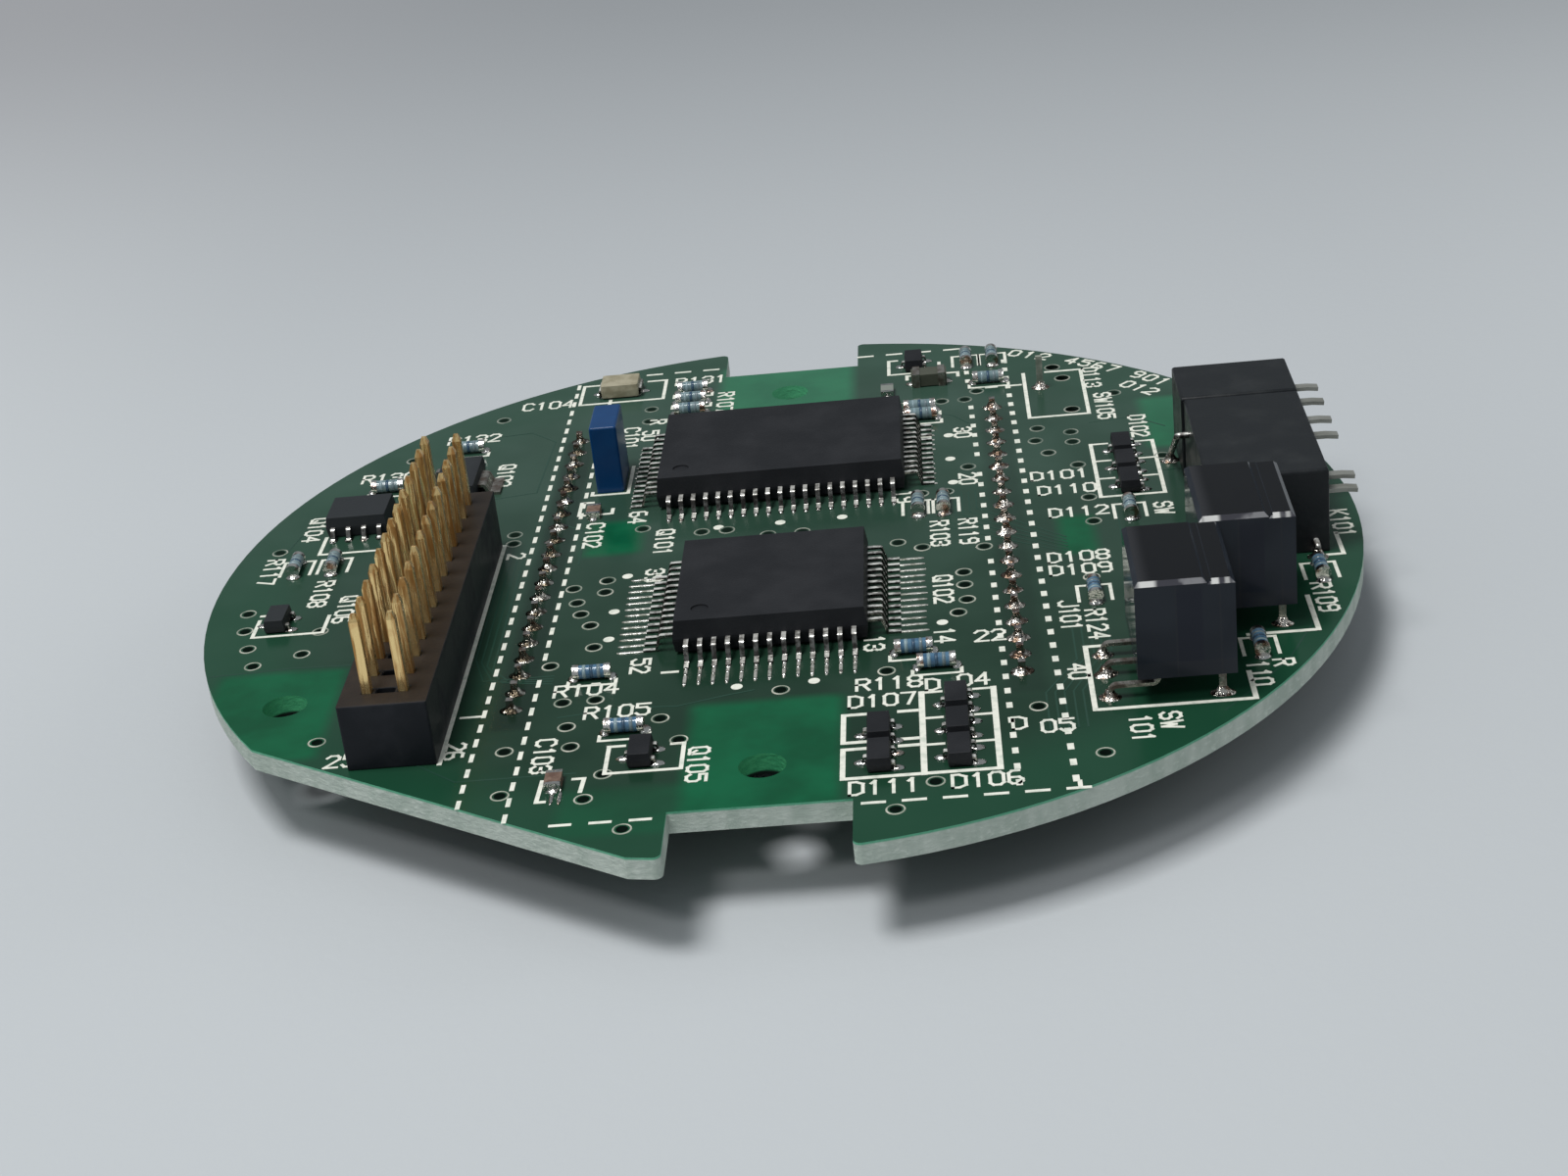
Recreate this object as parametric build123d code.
"""Round control board of an instrument head: a glass-fibre disc with chips, key sensors, a pin header
and two socket strips for a display.

Frame: millimetres. The origin is the disc's centre on the component face, midway between the two fixing
holes. +X runs to the side with the sensors, +Y away from the flat edge, +Z out of the component face.
"""

import math
import os

from build123d import *

os.makedirs("parts", exist_ok=True)

# Board: a disc with one flat, two notches in its rim and four fixing holes
board_diameter = 88.0
board_thickness = 1.6
flat_depth = 3.15
flat_notch_gap = 2.236
notch_width = 12.0
notch_depth = 5.9
notch_corner_radius = 0.5
fixing_hole_diameter = 3.2
fixing_hole_spacing = 66.0
side_hole_edge_distance = 4.2
side_hole_direction = 209.3

# Soldering, shared by everything with a lead through the board
lead_hole_clearance = 0.1
lead_protrusion = 1.0
solder_height = 0.75
solder_spread = 0.42

# Surface-mounted chips on four sides: pitch, and the body left past the outer leads
chip_pitch = 1.0
chip_corner_margin = 1.0
chip_standoff = 0.25
chip_draft = 8.0
chip_lead_width = 0.34
chip_lead_thickness = 0.18
chip_lead_height = 1.2
chip_lead_shoulder = 1.0
chip_lead_drop_run = 0.35
chip_lead_reach = 2.3
chip_dimple_diameter = 1.3
chip_dimple_depth = 0.12
chip_dimple_inset = 2.0

controller_centre = (0.0, 16.45)
controller_long_side_count = 19
controller_short_side_count = 13
controller_top = 2.75

driver_centre = (0.05, -9.32)
driver_side_count = 13
driver_top = 2.67

# Eight-lead memory chip, leads at the front and back
memory_centre = (-34.6, 11.5)
memory_pitch = 1.27
memory_side_count = 4
memory_end_margin = 0.6
memory_width = 4.4
memory_top = 1.75
memory_lead_height = 0.85
memory_lead_reach = 1.1
memory_lead_shoulder = 0.3

# Regulator with three leads and a tab
regulator_centre = (-27.2, 17.0)
regulator_length = 6.5
regulator_width = 3.5
regulator_top = 1.7
regulator_lead_pitch = 2.3
regulator_lead_width = 0.7
regulator_tab_width = 3.0
regulator_lead_thickness = 0.25
regulator_lead_reach = 1.75
regulator_lead_shoulder = 0.5
regulator_lead_height = 0.9

# Three-lead transistors and diodes
small_device_length = 2.9
small_device_width = 1.6
small_device_top = 1.1
small_device_standoff = 0.08
small_device_stack_gap = 0.65
small_lead_width = 0.4
small_lead_thickness = 0.12
small_lead_spacing = 1.9
small_lead_height = 0.5
small_lead_shoulder = 0.2
small_lead_reach = 0.6

# Round resistors with metal ends, lying on the board
resistor_length = 2.7
resistor_diameter = 1.1
resistor_end_length = 0.45
resistor_end_step = 0.05

# Chip capacitors
chip_capacitor_length = 1.9
chip_capacitor_width = 1.1
chip_capacitor_height = 0.6
chip_capacitor_end = 0.35

# Pin header: two rows of square pins through a tall black body
header_pitch = 2.54
header_pin_count = 13
header_centre = (-25.2, -12.3)
header_row_spacing = 2.5
header_side_margin = 1.82
header_end_margin = 2.1
header_height = 4.87
header_pin_size = 0.64
header_pin_tip = 10.7
header_pin_point = 0.5
header_groove_width = 0.7
header_groove_depth = 0.6
header_groove_length = 1.3

# Display sockets: two strips of contacts under the board, on which it stands
display_pitch = 2.54
display_pin_count = 20
display_row_spacing = 35.56
display_centre = (-0.2, 1.43)
socket_width = 2.5
socket_height = 5.6
socket_well = 1.1
contact_thickness = 0.2
contact_width = 0.7
contact_base = 0.4
contact_tail = 0.5
contact_recess = 0.5
contact_tail_rise = 0.9

# Film capacitor in a box, on edge
film_centre = (-14.28, 16.55)
film_width = 2.25
film_length = 5.1
film_height = 5.8
film_edge_radius = 0.2
film_lead_spacing = 2.54
film_lead_diameter = 0.5

# Tantalum capacitor with folded terminals
tantalum_centre = (-15.3, 36.3)
tantalum_length = 3.4
tantalum_width = 2.8
tantalum_height = 1.3
tantalum_draft = 5.0
tantalum_terminal_width = 2.2
tantalum_terminal_thickness = 0.12
tantalum_terminal_rise = 0.8

# Resonator with wrap-round terminals
resonator_centre = (12.35, 32.5)
resonator_length = 3.1
resonator_width = 1.8
resonator_height = 1.05
resonator_edge_radius = 0.35
resonator_terminal_length = 0.6
resonator_terminal_thickness = 0.1

# Optical key sensors: a wide block and a narrow slab side by side on bent leads
front_sensor_corner = (25.0, -28.8)
rear_sensor_offset = 5.25
rear_sensor_gap = 0.1
sensor_standoff = 1.95
sensor_height = 7.05
sensor_depth = 9.2
sensor_block_width = 4.75
sensor_slab_width = 1.8
sensor_slab_step = 0.12
sensor_edge_chamfer = 0.3
sensor_lead_width = 0.5
sensor_lead_thickness = 0.25
sensor_lead_height = 0.9
sensor_lead_inset = 1.5
sensor_lead_outset = 1.8
sensor_side_lead_places = (1.5, 4.8, 7.6)
sensor_slab_lead_places = (1.0, 8.0)

# Relay lying on its side, with its blades pointing out past the rim
relay_corner = (32.1, -7.6)
relay_width = 8.8
relay_case_length = 15.4
relay_end_block_length = 6.8
relay_end_block_step = 0.2
relay_height = 6.6
relay_edge_radius = 0.25
relay_blade_width = 0.8
relay_blade_thickness = 0.3
relay_blade_length = 2.2
relay_blade_droop = 0.1
relay_blade_places = ((1.3, 4.4), (2.5, 4.95), (10.0, 4.95), (13.1, 4.95), (16.8, 4.95), (19.8, 4.95))
relay_lead_diameter = 0.5
relay_solder_gap = 0.1
relay_front_lead_height = 0.9
relay_front_lead_inset = 1.0
relay_side_lead_place = 12.2
relay_side_lead_rise = 4.9
relay_side_lead_slope = 6.6

# One leg of a switch that was cut away, and the switch's other holes
cut_leg_centre = (21.9, 29.3)
cut_leg_width = 0.55
cut_leg_thickness = 0.3
cut_leg_rise = 2.9
empty_holes = ((23.9, 31.0), (24.25, 23.7), (23.2, 33.7))
empty_hole_diameter = 1.1

# Places of the repeated small parts: x, y of each, and the devices standing in a stack from y upwards
device_stacks = {
    "clamp_diode_front": (7.7, -33.7),
    "steering_diode_front": (12.95, -33.75),
    "steering_diode_right": (27.6, 6.95),
}
device_stack_count = {"clamp_diode_front": 2, "steering_diode_front": 3, "steering_diode_right": 3}
single_devices = {
    "front_transistor": (-8.2, -30.8),
    "left_transistor": (-37.9, -6.2),
    "back_transistor": (11.05, 36.8),
}
resistors_along_x = (
    (-12.6, -18.8),
    (-9.6, -27.0),
    (10.2, -18.6),
    (11.75, -21.0),
    (-33.5, 18.0),
    (-27.6, 25.2),
    (-8.7, 35.0),
    (-8.7, 32.5),
    (-8.7, 30.0),
    (11.5, 24.3),
    (11.4, 26.1),
    (17.5, 31.5),
)
resistors_along_y = (
    (23.4, -11.8),
    (33.9, -21.9),
    (39.7, -11.0),
    (10.9, 5.7),
    (12.9, 5.7),
    (-38.5, 3.5),
    (-35.5, 3.5),
    (27.2, 2.0),
    (15.7, 36.7),
    (18.0, 36.7),
)
chip_capacitors_along_y = ((-13.75, -33.5), (-15.25, 9.7), (8.65, 30.7))

lead_tip = -board_thickness - lead_protrusion


def row(count, pitch):
    """Places of a row of things about its middle."""
    return [(i - (count - 1) / 2) * pitch for i in range(count)]


def save(name, pieces):
    """Write one sub-part to its own file."""
    export_step(Compound(children=pieces) if len(pieces) > 1 else pieces[0], f"parts/{name}.step")


def round_hole_for(width, thickness):
    """Diameter of the hole that a rectangular lead passes with clearance at its corners."""
    return math.hypot(width, thickness) + 2 * lead_hole_clearance


header_hole = round_hole_for(header_pin_size, header_pin_size)
contact_hole = round_hole_for(contact_tail, contact_tail)
sensor_hole = round_hole_for(sensor_lead_width, sensor_lead_thickness)
cut_leg_hole = round_hole_for(cut_leg_width, cut_leg_thickness)
film_hole = film_lead_diameter + 2 * lead_hole_clearance
relay_hole = relay_lead_diameter + 2 * lead_hole_clearance

header_places = [
    (header_centre[0] + x, header_centre[1] + y)
    for x in row(2, header_row_spacing)
    for y in row(header_pin_count, header_pitch)
]
display_rows = {
    side: [(display_centre[0] + x, display_centre[1] + y) for y in row(display_pin_count, display_pitch)]
    for side, x in zip(("left", "right"), row(2, display_row_spacing))
}
sensor_corners = {
    "front": front_sensor_corner,
    "rear": (
        front_sensor_corner[0] + rear_sensor_offset,
        front_sensor_corner[1] + sensor_depth + rear_sensor_gap,
    ),
}
film_places = [(film_centre[0], film_centre[1] + y) for y in row(2, film_lead_spacing)]
relay_lead_gap = relay_hole / 2 + solder_spread + relay_solder_gap
relay_front_lead_place = (
    relay_corner[0] + relay_width - relay_front_lead_inset,
    relay_corner[1] - relay_lead_gap,
)
relay_side_lead_foot = (
    relay_corner[0] - relay_lead_gap,
    relay_corner[1] + relay_side_lead_place + relay_side_lead_slope,
)


def sensor_lead_feet(corner):
    """Where a sensor's leads go through the board: beside the block, then under the slab."""
    x, y = corner
    slab_middle = x + sensor_block_width + sensor_slab_width / 2
    beside = [(x - sensor_lead_outset, y + place) for place in sensor_side_lead_places]
    return beside + [(slab_middle, y + place) for place in sensor_slab_lead_places]


def drilled_holes():
    """Every hole for a lead, as (x, y, diameter)."""
    holes = [(*place, header_hole) for place in header_places]
    for places in display_rows.values():
        holes += [(*place, contact_hole) for place in places]
    for corner in sensor_corners.values():
        holes += [(*place, sensor_hole) for place in sensor_lead_feet(corner)]
    holes += [(*place, film_hole) for place in film_places]
    holes += [(*relay_front_lead_place, relay_hole), (*relay_side_lead_foot, relay_hole)]
    holes.append((*cut_leg_centre, cut_leg_hole))
    holes += [(*place, empty_hole_diameter) for place in empty_holes]
    return holes


def circuit_board():
    """The laminate disc with its flat, notches and holes."""
    radius = board_diameter / 2
    outline = Circle(radius)
    flat_distance = radius - flat_depth
    flat_end = math.asin((notch_width / 2 + flat_notch_gap) / radius)
    flat_direction = 270 - math.degrees(flat_end + math.acos(flat_distance / radius))
    outline -= Rot(Z=flat_direction) * Pos(flat_distance + radius / 2, 0) * Rectangle(radius, board_diameter)
    notch_floor = radius - notch_depth
    for side in (-1, 1):
        outline -= Pos(0, side * (notch_floor + radius / 2)) * Rectangle(notch_width, radius)
    half = notch_width / 2
    mouth = math.sqrt(radius**2 - half**2)
    corners = [
        outline.vertices().sort_by_distance((x, y, 0))[0] for x in (-half, half) for y in (-mouth, mouth)
    ]
    outline = fillet(corners, notch_corner_radius)
    fixing = [(0, y) for y in row(2, fixing_hole_spacing)]
    side_hole_distance = radius - side_hole_edge_distance
    angle = math.radians(side_hole_direction)
    fixing += [
        (side * side_hole_distance * math.cos(angle), side * side_hole_distance * math.sin(angle))
        for side in (-1, 1)
    ]
    holes = [(*place, fixing_hole_diameter) for place in fixing] + drilled_holes()
    outline -= [Pos(x, y) * Circle(diameter / 2) for x, y, diameter in holes]
    return extrude(outline, amount=-board_thickness)


def bent_strip(points, width, thickness, bend):
    """A flat strip of metal through points of the XZ plane, rounded at each bend."""
    path = FilletPolyline(*[(x, 0, z) for x, z in points], radius=bend)
    section = Plane(origin=path @ 0, x_dir=(0, 1, 0), z_dir=path % 0) * Rectangle(width, thickness)
    return sweep(section, path=path)


def wire(points, diameter, bend):
    """Round wire through points in space, rounded at each bend."""
    path = FilletPolyline(*points, radius=bend)
    return sweep(Plane(origin=path @ 0, z_dir=path % 0) * Circle(diameter / 2), path=path)


def gull_wing(height, shoulder, drop_run, reach, width, thickness):
    """A lead that leaves a body's side level, steps down and ends in a flat foot on the board."""
    foot = thickness / 2
    points = [(0, height), (shoulder, height), (shoulder + drop_run, foot), (reach, foot)]
    return bent_strip(points, width, thickness, bend=thickness * 0.8)


def solder_cone(place, hole, base, direction, lead):
    """Solder round a lead: a cone on one face of the board, and the fill of the plated hole."""
    x, y = place
    cone = Cone(hole / 2 + solder_spread, hole / 2, solder_height, align=(Align.CENTER, Align.CENTER, Align.MIN))
    if direction < 0:
        cone = Rot(X=180) * cone
    fill = Cylinder(hole / 2, board_thickness, align=(Align.CENTER, Align.CENTER, Align.MAX))
    return (Pos(x, y, base) * cone + Pos(x, y, 0) * fill - lead).solid()


def drafted_body(length, width, bottom, seam, seam_height, top, draft):
    """A moulded body whose sides slope away from a seam where its leads come out."""
    slope = 2 * math.tan(math.radians(draft))
    low = seam - seam_height / 2
    high = seam + seam_height / 2

    def level(z, shrink):
        return Plane.XY.offset(z) * Rectangle(length - shrink, width - shrink)

    under = loft([level(bottom, slope * (low - bottom)), level(low, 0)], ruled=True)
    band = extrude(level(low, 0), amount=seam_height)
    upper = loft([level(high, 0), level(top, slope * (top - high))], ruled=True)
    return under + band + upper


def chip_on_four_sides(centre, leads_along_x, leads_along_y, top):
    """A chip's body and its leads, all placed."""
    length = (leads_along_x - 1) * chip_pitch + 2 * chip_corner_margin
    width = (leads_along_y - 1) * chip_pitch + 2 * chip_corner_margin
    body = drafted_body(length, width, chip_standoff, chip_lead_height, chip_lead_thickness, top, chip_draft)
    dimple_place = Pos(chip_dimple_inset - length / 2, chip_dimple_inset - width / 2, top)
    body -= dimple_place * Cylinder(chip_dimple_diameter / 2, 2 * chip_dimple_depth)
    lead = gull_wing(
        chip_lead_height,
        chip_lead_shoulder,
        chip_lead_drop_run,
        chip_lead_reach,
        chip_lead_width,
        chip_lead_thickness,
    )
    leads = []
    for side in (-1, 1):
        turn = 90 * side
        leads += [Pos(x, side * width / 2) * Rot(Z=turn) * lead for x in row(leads_along_x, chip_pitch)]
        turn = 0 if side > 0 else 180
        leads += [Pos(side * length / 2, y) * Rot(Z=turn) * lead for y in row(leads_along_y, chip_pitch)]
    place = Pos(*centre)
    return place * body, [place * one for one in leads]


def memory_chip():
    """The eight-lead chip and its leads."""
    length = (memory_side_count - 1) * memory_pitch + 2 * memory_end_margin
    body = drafted_body(
        length,
        memory_width,
        small_device_standoff,
        memory_lead_height,
        chip_lead_thickness,
        memory_top,
        chip_draft,
    )
    lead = gull_wing(
        memory_lead_height,
        memory_lead_shoulder,
        chip_lead_drop_run,
        memory_lead_reach,
        chip_lead_width,
        chip_lead_thickness,
    )
    leads = [
        Pos(x, side * memory_width / 2) * Rot(Z=90 * side) * lead
        for side in (-1, 1)
        for x in row(memory_side_count, memory_pitch)
    ]
    place = Pos(*memory_centre)
    return place * body, [place * one for one in leads]


def regulator():
    """The regulator with three leads on one side and a wide tab on the other."""
    body = drafted_body(
        regulator_width,
        regulator_length,
        small_device_standoff,
        regulator_lead_height,
        regulator_lead_thickness,
        regulator_top,
        chip_draft,
    )

    def lead(width):
        return gull_wing(
            regulator_lead_height,
            regulator_lead_shoulder,
            chip_lead_drop_run,
            regulator_lead_reach,
            width,
            regulator_lead_thickness,
        )

    leads = [
        Pos(-regulator_width / 2, y) * Rot(Z=180) * lead(regulator_lead_width)
        for y in row(3, regulator_lead_pitch)
    ]
    leads.append(Pos(regulator_width / 2, 0) * lead(regulator_tab_width))
    place = Pos(*regulator_centre)
    return place * body, [place * one for one in leads]


def small_device(place):
    """A three-lead device: one lead on the left, two on the right."""
    body = drafted_body(
        small_device_width,
        small_device_length,
        small_device_standoff,
        small_lead_height,
        small_lead_thickness,
        small_device_top,
        chip_draft,
    )
    lead = gull_wing(
        small_lead_height,
        small_lead_shoulder,
        small_lead_thickness,
        small_lead_reach,
        small_lead_width,
        small_lead_thickness,
    )
    leads = [Pos(-small_device_width / 2, 0) * Rot(Z=180) * lead]
    leads += [Pos(small_device_width / 2, y) * lead for y in row(2, small_lead_spacing)]
    centre = Pos(*place)
    return centre * body, [centre * one for one in leads]


def resistor():
    """A resistor along X: its lacquered body and its two metal ends."""
    radius = resistor_diameter / 2
    body_length = resistor_length - 2 * resistor_end_length
    axis = Pos(0, 0, radius) * Rot(Y=90)
    body = axis * Cylinder(radius - resistor_end_step, body_length)
    ends = [
        axis * Pos(0, 0, side * (body_length + resistor_end_length) / 2) * Cylinder(radius, resistor_end_length)
        for side in (-1, 1)
    ]
    return body, ends


def chip_capacitor():
    """A ceramic block along X between two plated ends."""
    middle = chip_capacitor_length - 2 * chip_capacitor_end
    seat = (Align.CENTER, Align.CENTER, Align.MIN)
    body = Box(middle, chip_capacitor_width, chip_capacitor_height, align=seat)
    offset = (middle + chip_capacitor_end) / 2
    ends = [
        Pos(side * offset, 0)
        * Box(chip_capacitor_end, chip_capacitor_width, chip_capacitor_height, align=seat)
        for side in (-1, 1)
    ]
    return body, ends


def header_body():
    """The header's tall body with square pin holes and a row of slots between the pins."""
    length = (header_pin_count - 1) * header_pitch + 2 * header_end_margin
    width = header_row_spacing + 2 * header_side_margin
    body = Box(width, length, header_height, align=(Align.CENTER, Align.CENTER, Align.MIN))
    holes = [
        Pos(x, y) * Rectangle(header_pin_size, header_pin_size)
        for x in row(2, header_row_spacing)
        for y in row(header_pin_count, header_pitch)
    ]
    body -= extrude(Sketch() + holes, amount=header_height)
    slots = [
        Pos(0, y) * Rectangle(header_groove_length, header_groove_width)
        for y in row(header_pin_count, header_pitch)
    ]
    top = Plane.XY.offset(header_height)
    body -= extrude(top * (Sketch() + slots), amount=-header_groove_depth)
    return Pos(*header_centre) * body


def square_pin(size, low, high):
    """A square pin from low to high with a pointed top."""
    section = Rectangle(size, size)
    shaft = extrude(Plane.XY.offset(low) * section, amount=high - low - header_pin_point)
    tip = loft(
        [
            Plane.XY.offset(high - header_pin_point) * section,
            Plane.XY.offset(high) * Rectangle(size / 2, size / 2),
        ],
        ruled=True,
    )
    return shaft + tip


def socket_strip(side):
    """The moulded strip of one display socket, under the board."""
    places = display_rows[side]
    length = display_pin_count * display_pitch
    middle = (places[0][0], display_centre[1], -board_thickness)
    body = Pos(*middle) * Box(socket_width, length, socket_height, align=(Align.CENTER, Align.CENTER, Align.MAX))
    wells = Sketch() + [Pos(x, y) * Rectangle(socket_well, socket_well) for x, y in places]
    return body - extrude(Pos(0, 0, -board_thickness) * wells, amount=-socket_height)


def socket_contact():
    """A contact: two spring blades from a base that fills its well, and a tail up through the board."""
    top = -board_thickness
    low = top - socket_height + contact_recess
    base = Pos(0, 0, top) * Box(
        contact_width, socket_well, contact_base, align=(Align.CENTER, Align.CENTER, Align.MAX)
    )
    blades = [
        Pos(0, side * (socket_well - contact_thickness) / 2, low)
        * Box(
            contact_width,
            contact_thickness,
            top - contact_base - low,
            align=(Align.CENTER, Align.CENTER, Align.MIN),
        )
        for side in (-1, 1)
    ]
    tail = Pos(0, 0, top) * Box(
        contact_tail,
        contact_tail,
        board_thickness + contact_tail_rise,
        align=(Align.CENTER, Align.CENTER, Align.MIN),
    )
    return (base + blades + tail).solid()


def film_capacitor_body():
    """The boxed film capacitor, standing on edge."""
    body = Box(film_width, film_length, film_height, align=(Align.CENTER, Align.CENTER, Align.MIN))
    body = fillet(body.edges().filter_by(Axis.Z) + body.faces().sort_by(Axis.Z)[-1].edges(), film_edge_radius)
    return Pos(*film_centre) * body


def tantalum_capacitor():
    """The moulded capacitor and its two terminals, folded up the ends."""
    seam = tantalum_terminal_rise - tantalum_terminal_thickness / 2
    body = drafted_body(
        tantalum_length,
        tantalum_width,
        tantalum_terminal_thickness,
        seam,
        tantalum_terminal_thickness,
        tantalum_height,
        tantalum_draft,
    )
    lean = math.tan(math.radians(tantalum_draft)) * (seam - 1.5 * tantalum_terminal_thickness)
    end = tantalum_length / 2
    half = tantalum_terminal_thickness / 2
    points = [
        (end, seam),
        (end + 3 * half, seam),
        (end + 3 * half, half),
        (end - lean - tantalum_terminal_rise, half),
    ]
    terminal = bent_strip(points, tantalum_terminal_width, tantalum_terminal_thickness, bend=half * 1.2)
    place = Pos(*tantalum_centre)
    return place * body, [place * Rot(Z=turn) * terminal for turn in (0, 180)]


def resonator():
    """The resonator: a rounded can between two wrapped terminals."""
    middle = resonator_length - 2 * resonator_terminal_length
    seat = (Align.CENTER, Align.CENTER, Align.MIN)
    blank = Box(resonator_length, resonator_width, resonator_height, align=seat)
    blank = fillet(blank.edges().filter_by(Axis.Z), resonator_edge_radius)
    lift = Pos(0, 0, resonator_terminal_thickness)
    body = lift * blank
    sleeve = Box(
        resonator_terminal_length,
        resonator_width + 2 * resonator_terminal_thickness,
        resonator_height + 2 * resonator_terminal_thickness,
        align=seat,
    )
    offset = (middle + resonator_terminal_length) / 2 - resonator_terminal_length / 4
    place = Pos(*resonator_centre)
    terminals = [(Pos(side * offset, 0) * sleeve - body).solid() for side in (-1, 1)]
    return place * body, [place * one for one in terminals]


def sensor(corner):
    """One optical key sensor: block, slab and leads."""
    x, y = corner
    seat = (Align.MIN, Align.MIN, Align.MIN)
    base = Pos(x, y, sensor_standoff)
    block = base * Box(sensor_block_width, sensor_depth, sensor_height, align=seat)
    slab = (
        base
        * Pos(sensor_block_width, 0)
        * Box(sensor_slab_width, sensor_depth, sensor_height - sensor_slab_step, align=seat)
    )
    block = chamfer(block.faces().sort_by(Axis.Z)[-1].edges(), sensor_edge_chamfer)
    slab = chamfer(slab.faces().sort_by(Axis.Z)[-1].edges(), sensor_edge_chamfer)
    side_lead = bent_strip(
        [
            (x + sensor_lead_inset, sensor_standoff),
            (x + sensor_lead_inset, sensor_lead_height),
            (x - sensor_lead_outset, sensor_lead_height),
            (x - sensor_lead_outset, lead_tip),
        ],
        sensor_lead_width,
        sensor_lead_thickness,
        bend=sensor_lead_width,
    )
    leads = [Pos(0, y + place) * side_lead for place in sensor_side_lead_places]
    slab_middle = x + sensor_block_width + sensor_slab_width / 2
    straight = Pos(slab_middle, 0, lead_tip) * Box(
        sensor_lead_width,
        sensor_lead_thickness,
        sensor_standoff - lead_tip,
        align=(Align.CENTER, Align.CENTER, Align.MIN),
    )
    leads += [Pos(0, y + place) * straight for place in sensor_slab_lead_places]
    return block, slab, leads


def relay():
    """The relay: case, end block, blades out of its side and two wire leads."""
    x, y = relay_corner
    seat = (Align.MIN, Align.MIN, Align.MIN)
    case = Box(relay_width, relay_case_length, relay_height, align=seat)
    case = Pos(x, y) * fillet(case.faces().sort_by(Axis.Z)[-1].edges(), relay_edge_radius)
    step = relay_end_block_step
    end_block = Box(relay_width + step, relay_end_block_length, relay_height + step / 2, align=seat)
    end_block = Pos(x - step, y + relay_case_length) * fillet(
        end_block.faces().sort_by(Axis.Z)[-1].edges(), relay_edge_radius
    )
    side = x + relay_width
    blade = bent_strip(
        [
            (0, 0),
            (relay_blade_length * 0.6, 0),
            (relay_blade_length, -relay_blade_droop),
        ],
        relay_blade_width,
        relay_blade_thickness,
        bend=relay_blade_width,
    )
    blades = [Pos(side, y + along, height) * blade for along, height in relay_blade_places]
    front_x, front_y = relay_front_lead_place
    front_lead = wire(
        [
            (front_x, y, relay_front_lead_height),
            (front_x, front_y, relay_front_lead_height),
            (front_x, front_y, lead_tip),
        ],
        relay_lead_diameter,
        bend=relay_lead_diameter * 0.6,
    )
    side_x, side_y = relay_side_lead_foot
    exit_y = side_y - relay_side_lead_slope
    side_lead = wire(
        [
            (x, exit_y, relay_side_lead_rise),
            (side_x, exit_y, relay_side_lead_rise),
            (side_x, side_y, relay_lead_diameter),
            (side_x, side_y, lead_tip),
        ],
        relay_lead_diameter,
        bend=relay_lead_diameter * 0.52,
    )
    return case, end_block, blades, [front_lead, side_lead]


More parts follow.
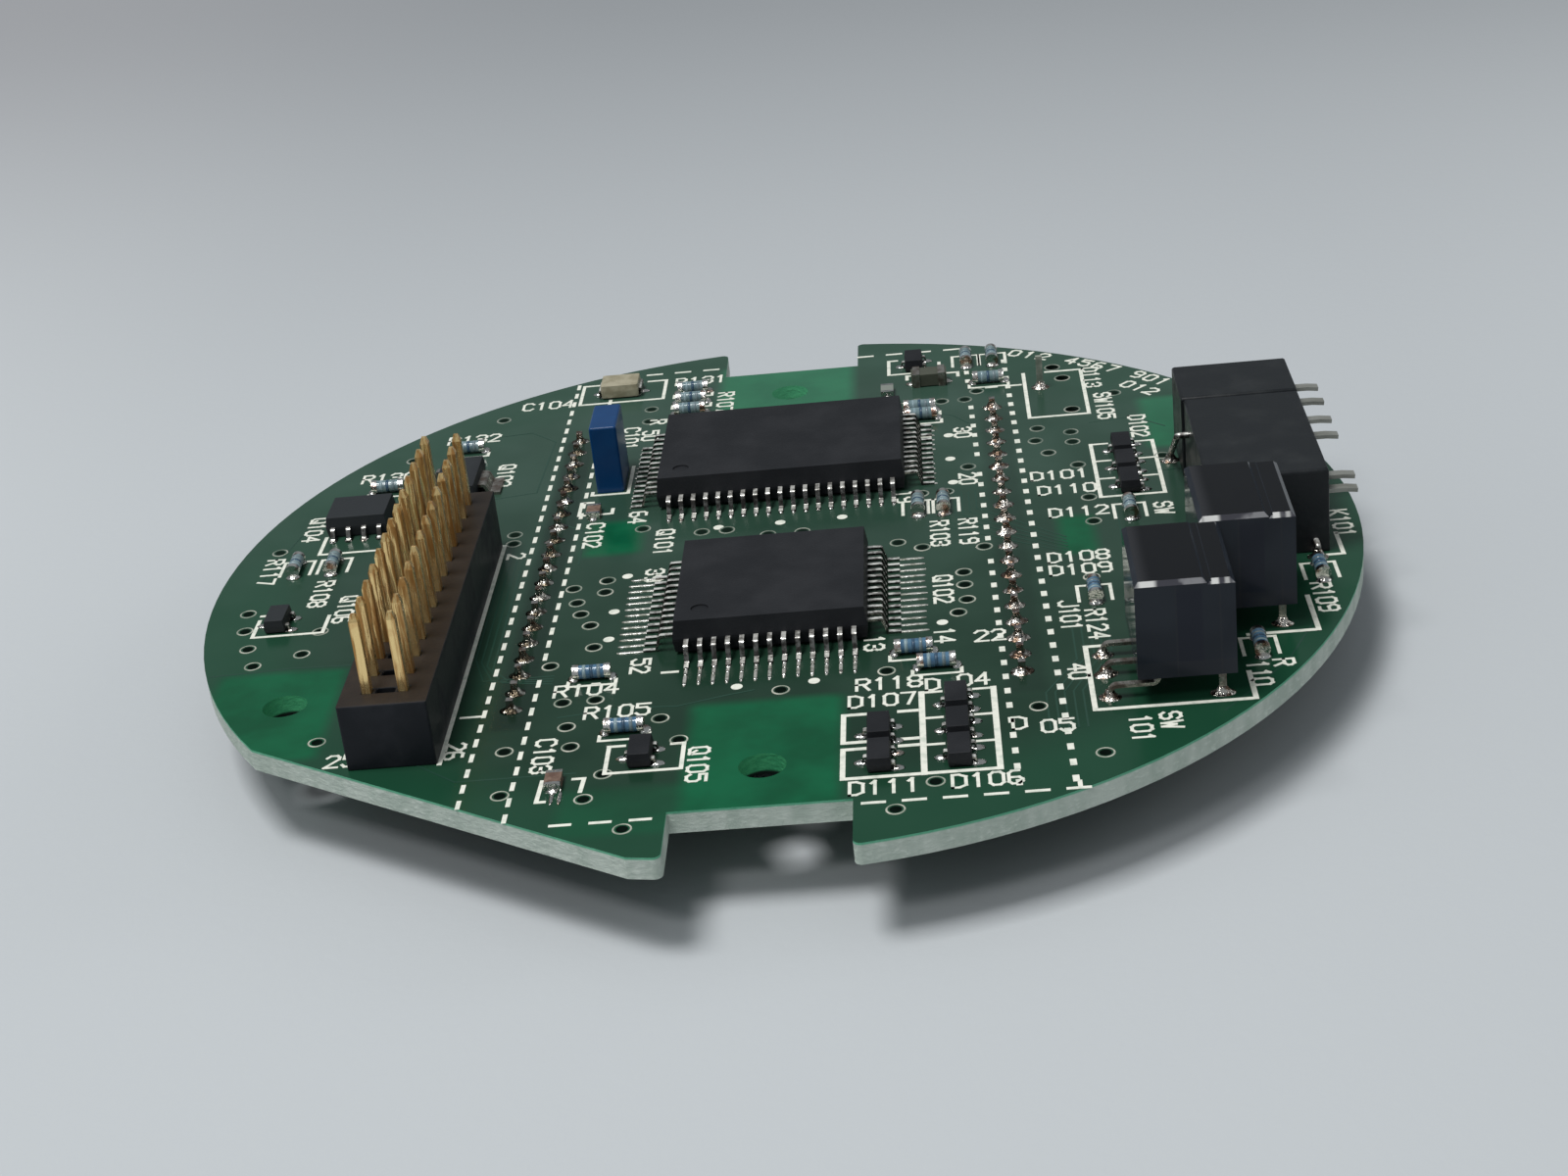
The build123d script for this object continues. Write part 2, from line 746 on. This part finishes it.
def main():
    save("circuit_board", [circuit_board()])

    save("header_body", [header_body()])
    pin = square_pin(header_pin_size, lead_tip, header_pin_tip)
    pins = [Pos(x, y) * pin for x, y in header_places]
    save("header_pins", pins)
    save(
        "header_solder",
        [
            solder_cone(place, header_hole, -board_thickness, -1, one)
            for place, one in zip(header_places, pins)
        ],
    )

    contact = socket_contact()
    for side, places in display_rows.items():
        contacts = [Pos(x, y) * contact for x, y in places]
        save(f"display_socket_{side}", [socket_strip(side)])
        save(f"display_contacts_{side}", contacts)
        save(
            f"display_solder_{side}",
            [solder_cone(place, contact_hole, 0, 1, one) for place, one in zip(places, contacts)],
        )

    for name, centre, along_x, along_y, top in (
        (
            "controller_chip",
            controller_centre,
            controller_long_side_count,
            controller_short_side_count,
            controller_top,
        ),
        ("driver_chip", driver_centre, driver_side_count, driver_side_count, driver_top),
    ):
        body, leads = chip_on_four_sides(centre, along_x, along_y, top)
        save(f"{name}_body", [body])
        save(f"{name}_leads", leads)

    for name, make in (("memory_chip", memory_chip), ("regulator", regulator)):
        body, leads = make()
        save(f"{name}_body", [body])
        save(f"{name}_leads", leads)

    device_leads = []
    for name, place in single_devices.items():
        body, leads = small_device(place)
        save(name, [body])
        device_leads += leads
    for name, (x, y) in device_stacks.items():
        for i in range(device_stack_count[name]):
            body, leads = small_device((x, y + i * (small_device_length + small_device_stack_gap)))
            save(f"{name}_{i + 1}", [body])
            device_leads += leads
    save("small_device_leads", device_leads)

    for name, make, along_x, along_y, ends_name in (
        ("resistor_bodies", resistor, resistors_along_x, resistors_along_y, "resistor_ends"),
        ("chip_capacitor_bodies", chip_capacitor, (), chip_capacitors_along_y, "chip_capacitor_ends"),
    ):
        body, ends = make()
        places = [Pos(*place) for place in along_x] + [Pos(*place) * Rot(Z=90) for place in along_y]
        save(name, [place * body for place in places])
        save(ends_name, [place * end for place in places for end in ends])

    save("film_capacitor_body", [film_capacitor_body()])
    film_lead = Cylinder(film_lead_diameter / 2, -lead_tip, align=(Align.CENTER, Align.CENTER, Align.MAX))
    film_leads = [Pos(*place) * film_lead for place in film_places]
    save("film_capacitor_leads", film_leads)

    body, terminals = tantalum_capacitor()
    save("tantalum_capacitor_body", [body])
    save("tantalum_capacitor_terminals", terminals)

    body, terminals = resonator()
    save("resonator_body", [body])
    save("resonator_terminals", terminals)

    solder = [
        solder_cone(place, film_hole, -board_thickness, -1, lead)
        for place, lead in zip(film_places, film_leads)
    ]
    for name, corner in sensor_corners.items():
        block, slab, leads = sensor(corner)
        save(f"{name}_sensor_block", [block])
        save(f"{name}_sensor_slab", [slab])
        save(f"{name}_sensor_leads", leads)
        feet = sensor_lead_feet(corner)
        solder += [solder_cone(place, sensor_hole, 0, 1, lead) for place, lead in zip(feet, leads)]

    case, end_block, blades, leads = relay()
    save("relay_case", [case])
    save("relay_end_block", [end_block])
    save("relay_blades", blades)
    save("relay_leads", leads)
    feet = (relay_front_lead_place, relay_side_lead_foot)
    solder += [solder_cone(place, relay_hole, 0, 1, lead) for place, lead in zip(feet, leads)]

    cut_leg = Pos(*cut_leg_centre, lead_tip) * Box(
        cut_leg_width,
        cut_leg_thickness,
        cut_leg_rise - lead_tip,
        align=(Align.CENTER, Align.CENTER, Align.MIN),
    )
    save("cut_switch_leg", [cut_leg])
    solder.append(solder_cone(cut_leg_centre, cut_leg_hole, 0, 1, cut_leg))
    save("through_hole_solder", solder)


main()
